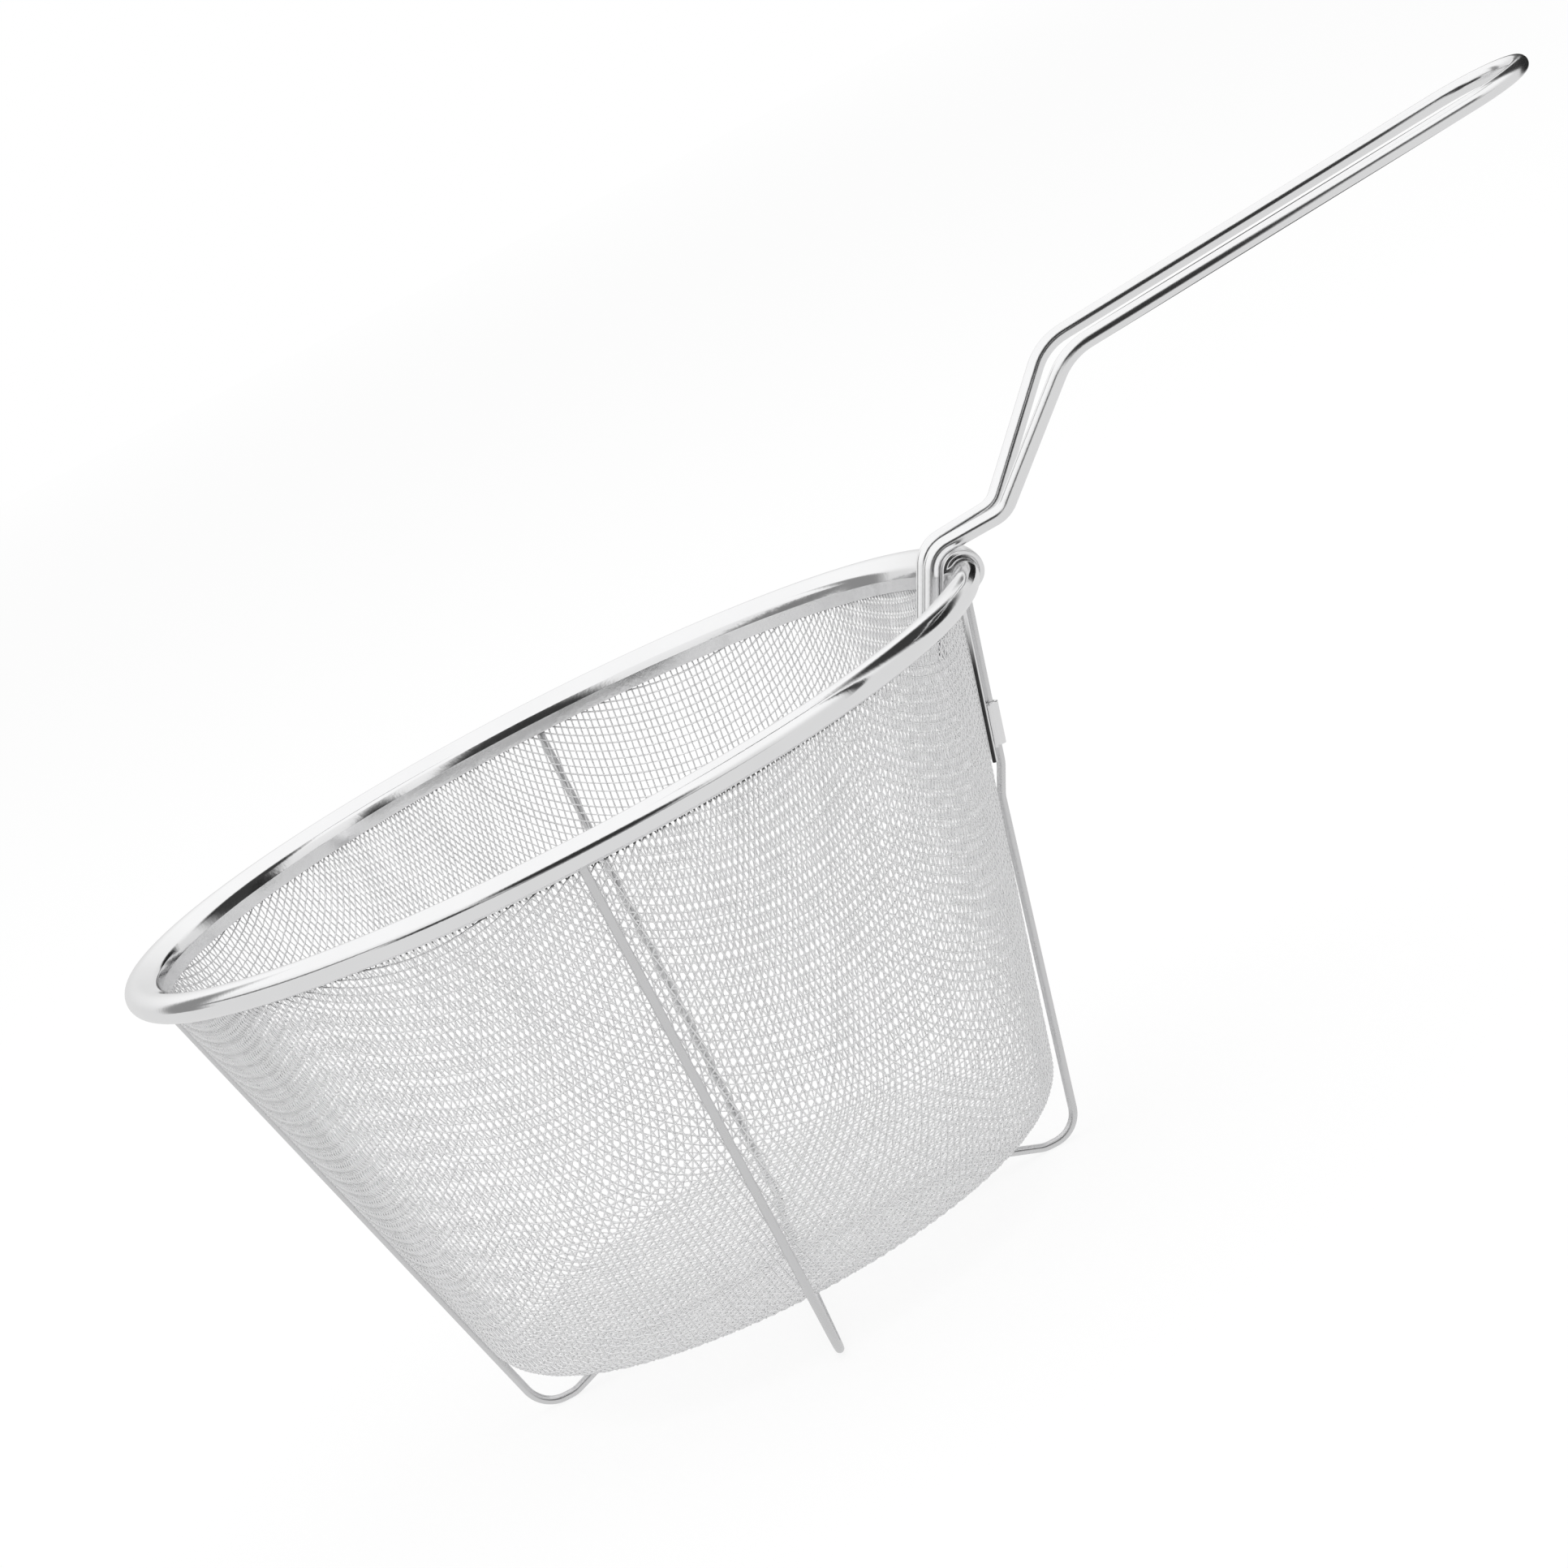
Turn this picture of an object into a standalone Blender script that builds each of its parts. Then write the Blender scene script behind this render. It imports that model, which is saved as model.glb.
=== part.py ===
# Oil strainer: a deep wire-net basket in a rolled rim, on four wire feet, with a long wire handle.
# Metres, +Z up. The origin lies on the surface that it stands on, under the middle of its length,
# and the handle points along +X. Heights inside the functions are taken from the centre of the
# rim's roll, and distances along X from the basket's own axis.
import math

import bmesh
import bpy
from mathutils import Quaternion, Vector

MM = 0.001
CLEARANCE = 0.3 * MM

# Rim band: a sheet strip rolled into a bead, with a lip inside that clamps the net
RIM_DIAMETER = 220 * MM
ROLL_DIAMETER = 6.8 * MM
RIM_SHEET = 0.5 * MM
ROLL_ENDS_AT = math.radians(-148)
LIP_CREASE_DROP = 2.4 * MM
LIP_EDGE_DROP = 4.4 * MM

# Basket net: a tapered cup with a rounded corner and a slightly dished bottom. The woven net is
# shown by a plain grid of openings, in rows up the wall and in rings on the bottom
NET_THICKNESS = 0.8 * MM
NET_LEAN = math.radians(14.6)
NET_INSET_IN_ROLL = 0.2 * MM
BASKET_DEPTH = 123.95 * MM
BASKET_CORNER_RADIUS = 10 * MM
DISH_RADIUS = 465 * MM
NET_BAR = 4.5 * MM
NET_ROWS = 5
NET_RINGS = 2
NET_HUB_RADIUS = 12 * MM

# Foot wires: two wires that cross under the bottom and bend into a foot at each end
FOOT_WIRE = 2.1 * MM
FOOT_HEIGHT = 10 * MM
FOOT_BEND_RADIUS = 7.5 * MM
FOOT_FLAT = 1.5 * MM
FOOT_RETURN_RISE = math.radians(20)
RUN_BEND_RADIUS = 6 * MM

# Handle strap: sheet that wraps over the roll, with a leaf inside and a leaf on the wall outside
STRAP_SHEET = 1.2 * MM
STRAP_WIDTH = 16 * MM
STRAP_INNER_DROP = 16 * MM
STRAP_OUTER_DROP = 43.4 * MM
STRAP_LEAVES_ROLL_AT = math.radians(-60)
STRAP_BEND_RADIUS = 2 * MM

# Strap clip: a small bridge over the foot wire
CLIP_SHEET = 0.8 * MM
CLIP_TOP_DROP = 30.5 * MM
CLIP_HEIGHT = 10.2 * MM
CLIP_FLANGE = 3.3 * MM
CLIP_BEND_RADIUS = 0.6 * MM

# Handle wire: a hairpin whose legs go over the rim, climb steeply and run out to a round end
HANDLE_WIRE = 4 * MM
LEG_LEAN = math.radians(26.6)
LEG_DROP = 15.5 * MM
LEG_SPACING = 12.4 * MM
LEG_BEND_RADIUS = 7 * MM
REACH_RISE = math.radians(3.4)
REACH_LENGTH = 18.9 * MM
REACH_SPACING = 17 * MM
REACH_BEND_RADIUS = 7 * MM
STEEP_RISE = math.radians(44.3)
STEEP_HEIGHT = 27.3 * MM
STEEP_BEND_RADIUS = 15 * MM
GRIP_RISE = math.radians(4.5)
GRIP_LENGTH = 125.6 * MM
GRIP_SPACING = 35 * MM

# Fineness of the faces
RING_STEPS = 96
STEPS_PER_OPENING = 4
STEPS_PER_HUB_OPENING = 12
STEPS_PER_HUB_BAR = 3
BEND_STEP = math.radians(15)
ROLL_STEP = math.radians(20)
STRAP_STEPS = 4
FOOT_WIRE_SIDES = 8
HANDLE_WIRE_SIDES = 10

# Places that follow from the sizes above
ROLL_CENTRE = Vector(((RIM_DIAMETER - ROLL_DIAMETER) / 2, 0, 0))
NET_RADIUS = RIM_DIAMETER / 2 - ROLL_DIAMETER + NET_INSET_IN_ROLL
NET_BOTTOM = -BASKET_DEPTH - NET_THICKNESS / 2
SURFACE = NET_BOTTOM - FOOT_HEIGHT
FRONT_RUN_LEVEL = NET_BOTTOM - CLEARANCE - FOOT_WIRE / 2
SIDE_RUN_LEVEL = FRONT_RUN_LEVEL - FOOT_WIRE - CLEARANCE
WIRE_SEAT = NET_THICKNESS / 2 + CLEARANCE + FOOT_WIRE / 2
STRAP_SEAT = NET_THICKNESS / 2 + CLEARANCE + STRAP_SHEET / 2
WIRE_SEAT_ON_STRAP = WIRE_SEAT + STRAP_SHEET + CLEARANCE
STRAP_WRAP_RADIUS = ROLL_DIAMETER / 2 + CLEARANCE + STRAP_SHEET / 2
HANDLE_SEAT = STRAP_WRAP_RADIUS + STRAP_SHEET / 2 + CLEARANCE + HANDLE_WIRE / 2


# Paths in the upright XZ plane


def heading(angle):
    return Vector((math.cos(angle), 0, math.sin(angle)))


def left_of(direction):
    return Vector((-direction.z, 0, direction.x))


def crossing(p, along_p, q, along_q):
    # where the line through p meets the line through q
    across = left_of(along_q)
    return p + along_p * ((q - p).dot(across) / along_p.dot(across))


def at_level(p, along, level):
    return crossing(p, along, Vector((0, 0, level)), Vector((1, 0, 0)))


def entering_circle(p, along, centre, radius):
    # where the line from p first comes within the radius of the centre
    back = (p - centre).dot(along)
    beyond = (p - centre).length_squared - radius ** 2
    return p + along * (-back - math.sqrt(back ** 2 - beyond))


def touching_circle(p, centre, radius):
    # the angle at which a straight run from p joins the circle, to go on round it clockwise
    to_centre = centre - p
    swing = math.asin(radius / to_centre.length)
    return math.atan2(to_centre.z, to_centre.x) + swing + math.pi / 2


def wall_line(offset):
    # a line down the wall, the offset outward from the middle of the net
    down = heading(-math.pi / 2 - NET_LEAN)
    return Vector((NET_RADIUS, 0, 0)) + left_of(down) * offset, down


def arc(centre, radius, start, end, step):
    count = max(1, round(abs(end - start) / step))
    return [centre + heading(start + (end - start) * i / count) * radius for i in range(count + 1)]


def rounded(corners, radii):
    # a path through the corners, with each inner corner bent to its radius
    path = [corners[0]]
    for before, corner, after, radius in zip(corners, corners[1:], corners[2:], radii):
        back = (before - corner).normalized()
        onward = (after - corner).normalized()
        turn = math.pi - back.angle(onward)
        tangent = radius * math.tan(turn / 2)
        centre = corner + (back + onward).normalized() * radius / math.cos(turn / 2)
        spoke = corner + back * tangent - centre
        last_spoke = corner + onward * tangent - centre
        axis = spoke.cross(last_spoke)
        count = max(2, round(turn / BEND_STEP))
        path += [centre + Quaternion(axis, turn * i / count) @ spoke for i in range(count + 1)]
    path.append(corners[-1])
    return [b for a, b in zip([None] + path, path) if a is None or (b - a).length > 0.01 * MM]


def sheet_outline(path, thickness):
    # the closed outline of a sheet bent along the path: down its left side and back up its right
    runs = [(b - a).normalized() for a, b in zip(path, path[1:])]
    runs = [runs[0]] + runs + [runs[-1]]
    left = []
    right = []
    for point, before, after in zip(path, runs, runs[1:]):
        across = left_of(before + after).normalized()
        across *= thickness / 2 / across.dot(left_of(after))
        left.append(point + across)
        right.append(point - across)
    return left + right[::-1]


# Solids


def steel(name, colour, roughness):
    material = bpy.data.materials.new(name)
    material.use_nodes = True
    shader = material.node_tree.nodes["Principled BSDF"]
    shader.inputs["Base Color"].default_value = (*colour, 1)
    shader.inputs["Roughness"].default_value = roughness
    shader.inputs["Metallic"].default_value = 1
    return material


def place(name, data, material):
    data.materials.append(material)
    piece = bpy.data.objects.new(name, data)
    bpy.context.collection.objects.link(piece)
    piece.parent = strainer
    return piece


def finish_mesh(name, bm, material):
    bmesh.ops.remove_doubles(bm, verts=bm.verts, dist=0.001 * MM)
    bmesh.ops.recalc_face_normals(bm, faces=bm.faces)
    mesh = bpy.data.meshes.new(name)
    bm.to_mesh(mesh)
    bm.free()
    mesh.shade_smooth()
    mesh.set_sharp_from_angle(angle=math.radians(40))
    return place(name, mesh, material)


def turned(outline, closed):
    # the outline spun once round the basket's axis
    bm = bmesh.new()
    verts = [bm.verts.new(point) for point in outline]
    edges = [bm.edges.new(pair) for pair in zip(verts, verts[1:])]
    if closed:
        edges.append(bm.edges.new((verts[-1], verts[0])))
    bmesh.ops.spin(bm, geom=verts + edges, cent=(0, 0, 0), axis=(0, 0, 1),
                   angle=math.tau, steps=RING_STEPS, use_merge=True)
    return bm


def cut_openings(bm, opening_at):
    # faces that share an opening, on both sides of a sheet, go, and its two edges are joined
    openings = {}
    for face in bm.faces:
        opening = opening_at(face.calc_center_median())
        if opening is not None:
            openings.setdefault(opening, []).append(face)
    for faces in openings.values():
        gone = set(faces)
        border = [edge for edge in {edge for face in faces for edge in face.edges}
                  if len(gone.intersection(edge.link_faces)) == 1]
        bmesh.ops.delete(bm, geom=faces, context="FACES")
        bmesh.ops.bridge_loops(bm, edges=border)


def bent_sheet(name, outline, sweep, steps, material):
    # the outline swept sideways or down, each point kept at its distance from the basket's axis,
    # so that the sheet follows the round of the rim and the wall
    bm = bmesh.new()
    face = bm.faces.new([bm.verts.new(point) for point in outline])
    for step in range(steps):
        grown = bmesh.ops.extrude_face_region(bm, geom=[face])["geom"]
        moved = [item for item in grown if isinstance(item, bmesh.types.BMVert)]
        bmesh.ops.translate(bm, verts=moved, vec=sweep / steps)
        if step > 0:
            bmesh.ops.delete(bm, geom=[face], context="FACES_ONLY")
        face = next(item for item in grown if isinstance(item, bmesh.types.BMFace))
    for vert in bm.verts:
        vert.co.x = math.sqrt(vert.co.x ** 2 - vert.co.y ** 2)
    return finish_mesh(name, bm, material)


def wire(name, path, diameter, sides, material):
    # a round wire along the path, turned so that a flat of its facets faces down
    curve = bpy.data.curves.new(name, "CURVE")
    curve.dimensions = "3D"
    curve.bevel_depth = diameter / 2
    curve.bevel_resolution = (sides - 4) // 2
    curve.use_fill_caps = True
    spline = curve.splines.new("POLY")
    spline.points.add(len(path) - 1)
    for point, place_on_path in zip(spline.points, path):
        point.co = (*place_on_path, 1)
        point.tilt = math.pi / sides
    return place(name, curve, material)


# Pieces


def make_rim_band():
    lip_seat = -(NET_THICKNESS / 2 + CLEARANCE + RIM_SHEET / 2)
    start, down = wall_line(lip_seat)
    edge = at_level(start, down, -LIP_EDGE_DROP)
    crease = at_level(start, down, -LIP_CREASE_DROP)
    middle_radius = (ROLL_DIAMETER - RIM_SHEET) / 2
    roll_start = touching_circle(crease, ROLL_CENTRE, middle_radius)
    roll = arc(ROLL_CENTRE, middle_radius, roll_start, ROLL_ENDS_AT, ROLL_STEP)
    outline = sheet_outline([edge, crease] + roll, RIM_SHEET)
    return finish_mesh("rim_band", turned(outline, True), steel("rim_steel", (0.83, 0.83, 0.84), 0.16))


def open_spans(start, end, count):
    # spans from start to end with a bar after each
    pitch = (end - start) / count
    bar = math.copysign(NET_BAR, pitch)
    return [(start + pitch * i, start + pitch * (i + 1) - bar) for i in range(count)]


def make_basket_mesh():
    start, down = wall_line(0)
    top = at_level(start, down, -LIP_CREASE_DROP)
    dish_centre = Vector((0, 0, DISH_RADIUS - BASKET_DEPTH))
    inner_start, _ = wall_line(-BASKET_CORNER_RADIUS)
    # the corner's centre lies a corner radius inside both the wall and the dish
    below = at_level(inner_start, down, -2 * BASKET_DEPTH)
    corner_centre = entering_circle(below, -down, dish_centre, DISH_RADIUS - BASKET_CORNER_RADIUS)
    dish_edge = math.asin(corner_centre.x / (DISH_RADIUS - BASKET_CORNER_RADIUS))
    corner = arc(corner_centre, BASKET_CORNER_RADIUS, -NET_LEAN, dish_edge - math.pi / 2, BEND_STEP)

    # rows lie between two heights, rings between two radii
    rows = open_spans(-LIP_EDGE_DROP - NET_BAR, corner[0].z, NET_ROWS)
    rings = open_spans(corner[-1].x - NET_BAR, NET_HUB_RADIUS, NET_RINGS)
    wall = [at_level(start, down, level) for row in rows for level in row]
    dish = [dish_centre - heading(math.pi / 2 + math.asin(radius / DISH_RADIUS)) * DISH_RADIUS
            for ring in rings for radius in ring]
    middle = Vector((0, 0, -BASKET_DEPTH))
    outline = sheet_outline([top] + wall + corner + dish + [middle], NET_THICKNESS)
    # the two points at the middle of the bottom lie on the axis itself
    turn_back = len(outline) // 2
    outline[turn_back - 1].x = 0
    outline[turn_back].x = 0
    # the net's free edge closes the outline at the top
    bm = turned(outline[turn_back:] + outline[:turn_back], False)
    # a bar, not a gap, lies behind each foot wire and the strap
    half_step = Quaternion((0, 0, 1), -math.pi / RING_STEPS).to_matrix()
    bmesh.ops.rotate(bm, verts=bm.verts, cent=(0, 0, 0), matrix=half_step)

    def opening_at(point):
        step = round(math.atan2(point.y, point.x) / math.tau * RING_STEPS) % RING_STEPS
        radius = math.hypot(point.x, point.y)
        for row, (upper, lower) in enumerate(rows):
            if lower < point.z < upper and step % STEPS_PER_OPENING:
                return "row", row, step // STEPS_PER_OPENING
        for ring, (outer, inner) in enumerate(rings):
            if inner < radius < outer and point.z < corner_centre.z:
                if ring < NET_RINGS - 1 and step % STEPS_PER_OPENING:
                    return "ring", ring, step // STEPS_PER_OPENING
                across_bar = (step + STEPS_PER_HUB_BAR // 2) % STEPS_PER_HUB_OPENING
                if ring == NET_RINGS - 1 and across_bar >= STEPS_PER_HUB_BAR:
                    return "ring", ring, step // STEPS_PER_HUB_OPENING
        return None

    cut_openings(bm, opening_at)
    return finish_mesh("basket_mesh", bm, steel("net_steel", (0.78, 0.78, 0.79), 0.32))


def half_foot_wire(seat, run_level, top):
    # one side of a foot wire, from its top end down to its run under the bottom
    start, down = wall_line(seat)
    level = SURFACE + FOOT_WIRE / 2 * math.cos(math.pi / FOOT_WIRE_SIDES)
    heel = at_level(start, down, level)
    heel_turn = math.pi / 2 - NET_LEAN
    bends = math.tan(heel_turn / 2) + math.tan(FOOT_RETURN_RISE / 2)
    toe = heel - Vector((FOOT_FLAT + FOOT_BEND_RADIUS * bends, 0, 0))
    run = at_level(toe, heading(math.pi - FOOT_RETURN_RISE), run_level)
    return [top, heel, toe, run]


def foot_wire_path(left, right):
    mirrored = [Vector((-point.x, 0, point.z)) for point in left]
    radii = [FOOT_BEND_RADIUS, FOOT_BEND_RADIUS, RUN_BEND_RADIUS]
    return rounded(mirrored + right[::-1], radii + radii[::-1])


def top_under_roll():
    # the wire's outer edge comes up to the roll, and its middle ends level with that
    edge_start, down = wall_line(WIRE_SEAT + FOOT_WIRE / 2)
    low_edge = at_level(edge_start, down, -BASKET_DEPTH)
    touch = entering_circle(low_edge, -down, ROLL_CENTRE, ROLL_DIAMETER / 2 + CLEARANCE)
    return touch - left_of(down) * FOOT_WIRE / 2


def top_under_strap():
    # the wire's inner edge comes up to the strap where that slants in under the roll
    edge_start, down = wall_line(WIRE_SEAT_ON_STRAP - FOOT_WIRE / 2)
    slant = heading(STRAP_LEAVES_ROLL_AT - math.pi / 2)
    reach = STRAP_WRAP_RADIUS + STRAP_SHEET / 2 + CLEARANCE
    outer_face = ROLL_CENTRE + heading(STRAP_LEAVES_ROLL_AT) * reach
    return crossing(edge_start, down, outer_face, slant) + left_of(down) * FOOT_WIRE / 2


def make_foot_wires():
    material = steel("foot_wire_steel", (0.8, 0.8, 0.81), 0.25)
    plain_side = half_foot_wire(WIRE_SEAT, SIDE_RUN_LEVEL, top_under_roll())
    handle_side = half_foot_wire(WIRE_SEAT_ON_STRAP, SIDE_RUN_LEVEL, top_under_strap())
    wire("foot_wire_side", foot_wire_path(plain_side, handle_side), FOOT_WIRE, FOOT_WIRE_SIDES, material)
    front = half_foot_wire(WIRE_SEAT, FRONT_RUN_LEVEL, top_under_roll())
    turned_path = [Vector((0, point.x, point.z)) for point in foot_wire_path(front, front)]
    wire("foot_wire_front", turned_path, FOOT_WIRE, FOOT_WIRE_SIDES, material.copy())


def make_handle_strap():
    up_leg = heading(math.pi / 2 - LEG_LEAN)
    leaf_side = math.pi - LEG_LEAN
    wrap = arc(ROLL_CENTRE, STRAP_WRAP_RADIUS, leaf_side, STRAP_LEAVES_ROLL_AT, BEND_STEP)
    inner_end = at_level(wrap[0], up_leg, -STRAP_INNER_DROP)
    wall_start, down = wall_line(STRAP_SEAT)
    slant = heading(STRAP_LEAVES_ROLL_AT - math.pi / 2)
    tuck = crossing(wrap[-1], slant, wall_start, down)
    outer_end = at_level(wall_start, down, -STRAP_OUTER_DROP)
    path = [inner_end] + wrap[:-1] + rounded([wrap[-1], tuck, outer_end], [STRAP_BEND_RADIUS])
    outline = sheet_outline(path, STRAP_SHEET)
    for point in outline:
        point.y = -STRAP_WIDTH / 2
    return bent_sheet("handle_strap", outline, Vector((0, STRAP_WIDTH, 0)), STRAP_STEPS,
                      steel("strap_steel", (0.82, 0.82, 0.83), 0.18))


def make_strap_clip():
    # its section, with X across the wire and Z out from the net
    flange = STRAP_SEAT + STRAP_SHEET / 2 + CLEARANCE + CLIP_SHEET / 2
    bow_radius = FOOT_WIRE / 2 + CLEARANCE + CLIP_SHEET / 2
    bow = arc(Vector((0, 0, WIRE_SEAT_ON_STRAP)), bow_radius, math.pi, 0, BEND_STEP * 2)
    reach = bow_radius + CLIP_FLANGE
    flange_corners = [Vector((-reach, 0, flange)), Vector((-bow_radius, 0, flange)), bow[0]]
    left = rounded(flange_corners, [CLIP_BEND_RADIUS])
    right = [Vector((-point.x, 0, point.z)) for point in left[::-1]]
    section = sheet_outline(left + bow[1:-1] + right, CLIP_SHEET)
    start, down = wall_line(0)
    top = at_level(start, down, -CLIP_TOP_DROP)
    outline = [top + Vector((0, point.x, 0)) + left_of(down) * point.z for point in section]
    return bent_sheet("strap_clip", outline, down * CLIP_HEIGHT, 1,
                      steel("clip_steel", (0.8, 0.8, 0.81), 0.22))


def handle_corners():
    # one leg, from its end inside the basket to the corner of the round end
    up_leg = heading(math.pi / 2 - LEG_LEAN)
    # the strap bows in behind the legs, because it follows the round of the rim
    bow = ROLL_CENTRE.x - math.sqrt(ROLL_CENTRE.x ** 2 - (LEG_SPACING / 2) ** 2)
    leg = ROLL_CENTRE + left_of(up_leg) * (HANDLE_SEAT + bow)
    reach_run = heading(REACH_RISE)
    reach = ROLL_CENTRE + left_of(reach_run) * HANDLE_SEAT
    inner_corner = crossing(leg, up_leg, reach, reach_run)
    lower_corner = inner_corner + reach_run * REACH_LENGTH
    upper_corner = lower_corner + heading(STEEP_RISE) * STEEP_HEIGHT / math.sin(STEEP_RISE)
    loop_corner = upper_corner + heading(GRIP_RISE) * GRIP_LENGTH
    return [at_level(leg, up_leg, -LEG_DROP), inner_corner, lower_corner, upper_corner, loop_corner]


def make_handle_wire():
    half_spacings = [LEG_SPACING / 2, LEG_SPACING / 2, REACH_SPACING / 2, GRIP_SPACING / 2, GRIP_SPACING / 2]
    near = [Vector((point.x, -half, point.z)) for point, half in zip(handle_corners(), half_spacings)]
    far = [Vector((point.x, half, point.z)) for point, half in zip(handle_corners(), half_spacings)]
    radii = [LEG_BEND_RADIUS, REACH_BEND_RADIUS, STEEP_BEND_RADIUS, GRIP_SPACING / 2]
    path = rounded(near + far[::-1], radii + radii[::-1])
    return wire("handle_wire", path, HANDLE_WIRE, HANDLE_WIRE_SIDES,
                steel("handle_steel", (0.82, 0.82, 0.83), 0.15))


for old in list(bpy.data.objects):
    bpy.data.objects.remove(old, do_unlink=True)

# the empty stands on the basket's axis at the height of the roll, and carries every piece
handle_end = handle_corners()[-1].x + HANDLE_WIRE / 2
strainer = bpy.data.objects.new("strainer", None)
strainer.location = ((RIM_DIAMETER / 2 - handle_end) / 2, 0, -SURFACE)
bpy.context.collection.objects.link(strainer)

make_rim_band()
make_basket_mesh()
make_foot_wires()
make_handle_strap()
make_strap_clip()
make_handle_wire()
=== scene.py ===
import math

import bmesh
import bpy
import numpy as np
from mathutils import Matrix, Quaternion, Vector


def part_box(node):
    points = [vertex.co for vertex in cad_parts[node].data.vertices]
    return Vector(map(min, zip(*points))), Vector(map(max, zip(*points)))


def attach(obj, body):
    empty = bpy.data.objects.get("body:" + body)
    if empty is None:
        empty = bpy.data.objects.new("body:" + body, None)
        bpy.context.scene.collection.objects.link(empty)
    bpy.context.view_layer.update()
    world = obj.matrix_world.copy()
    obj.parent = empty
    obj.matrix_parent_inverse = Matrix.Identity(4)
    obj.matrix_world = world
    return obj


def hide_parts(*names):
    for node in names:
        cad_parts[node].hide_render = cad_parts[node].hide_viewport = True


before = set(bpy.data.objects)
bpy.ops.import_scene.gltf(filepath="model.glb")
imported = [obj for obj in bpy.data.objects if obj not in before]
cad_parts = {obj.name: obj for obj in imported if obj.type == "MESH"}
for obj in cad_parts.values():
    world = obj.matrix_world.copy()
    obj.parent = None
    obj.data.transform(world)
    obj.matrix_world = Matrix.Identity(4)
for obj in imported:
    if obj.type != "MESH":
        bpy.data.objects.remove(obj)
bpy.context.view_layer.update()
print("frame loaded:", ", ".join(sorted(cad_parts)))

# Shapes are drawn in millimetres. Heights are taken from the centre of the rim's roll, distances
# along X from the basket's axis, and onFrame carries the finished shape to its place in the frame.
mm = 0.001
samePlace = 0.01      # points nearer together than this count as one
bendStep = 5.0        # in degrees, along a bend of a wire or a sheet

rim = {
    "across": 220.0,
    "roll": 6.8,          # thickness of the rolled bead
    "sheet": 0.5,
    "rollStart": 118.0,   # the sheet joins the round of the roll here, on its inner side
    "rollEnd": -148.0,    # and stops here, under it
    "shoulder": 1.8,      # radius of the bend before it
    "slope": 14.0,        # of the roll's inner side, from upright
    "creaseDrop": 1.3,    # the lip leaves the roll here
    "crease": 0.6,        # over a bend of this radius
    "lipSlope": 2.0,
    "edgeDrop": 4.4,      # and ends here, inside the net
    "edgeBevel": 0.1,
    "arcStep": 8.0,
    "turnSteps": 288,
}
net = {
    "thick": 0.8,         # the room that the woven net takes
    "lean": 14.6,         # of the wall, from upright
    "inset": 0.2,         # of the net's middle from the inner side of the roll
    "topDrop": 2.4,       # the wires are cut off here, behind the lip
    "depth": 123.95,
    "corner": 10.0,
    "dish": 465.0,
    "wire": 0.38,
    "sides": 4,           # of each wire of the model
    "squareSize": 1.1,    # a square wire this many times as thick looks as thick as a round one
    "pitch": 2.07,        # between neighbouring wires of the flat net
    "warpTurn": -112.0,   # a warp wire runs straight up the wall here
    "slip": 0.5,          # of the crossings: 0 keeps every pitch, 1 keeps every crossing's turn
    "stretchLow": 0.15,   # the wires are drawn this much longer low on the wall
    "stretchHigh": 0.03,
    "spareCrossings": 3,  # worked out past the rim along the straight wires
    "spareReach": 1.4,    # and elsewhere, out to this many times the rim's reach
    "fewest": 4,          # a wire with fewer crossings than this inside the rim is left out
}
clearance = 0.3           # between neighbouring pieces

rimLow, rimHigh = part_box("rim_band")
basketAxis = (rimLow.x + rimHigh.x) / 2
rollLevel = rimHigh.z - rim["roll"] / 2 * mm
onFrame = Matrix.Translation((basketAxis, 0, rollLevel)) @ Matrix.Scale(mm, 4)
rollCentre = Vector(((rim["across"] - rim["roll"]) / 2, 0, 0))


# Paths in the upright XZ plane

def heading(degrees):
    return Vector((math.cos(math.radians(degrees)), 0, math.sin(math.radians(degrees))))


def leftOf(direction):
    return Vector((-direction.z, 0, direction.x))


def crossing(p, alongP, q, alongQ):
    across = leftOf(alongQ)
    return p + alongP * ((q - p).dot(across) / alongP.dot(across))


def atLevel(p, along, level):
    return crossing(p, along, Vector((0, 0, level)), Vector((1, 0, 0)))


def enteringCircle(p, along, centre, radius):
    # where the line from p first comes within the radius of the centre
    back = (p - centre).dot(along)
    beyond = (p - centre).length_squared - radius ** 2
    return p + along * (-back - math.sqrt(back ** 2 - beyond))


def wallLine(offset):
    # a line down the wall, the offset outward from the middle of the net
    down = heading(-90 - net["lean"])
    top = Vector((rim["across"] / 2 - rim["roll"] + net["inset"], 0, 0))
    return top + leftOf(down) * offset, down


def arc(centre, radius, start, end, step):
    count = max(1, round(abs(end - start) / step))
    return [centre + heading(start + (end - start) * i / count) * radius for i in range(count + 1)]


def rounded(corners, radii, step=bendStep):
    # a path through the corners, with each inner corner bent to its radius
    path = [corners[0]]
    for before, corner, after, radius in zip(corners, corners[1:], corners[2:], radii):
        back = (before - corner).normalized()
        onward = (after - corner).normalized()
        turn = math.pi - back.angle(onward)
        centre = corner + (back + onward).normalized() * radius / math.cos(turn / 2)
        spoke = corner + back * radius * math.tan(turn / 2) - centre
        lastSpoke = corner + onward * radius * math.tan(turn / 2) - centre
        axis = spoke.cross(lastSpoke)
        count = max(2, round(math.degrees(turn) / step))
        path += [centre + Quaternion(axis, turn * i / count) @ spoke for i in range(count + 1)]
    path.append(corners[-1])
    return [b for a, b in zip([None] + path, path) if a is None or (b - a).length > samePlace]


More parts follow.
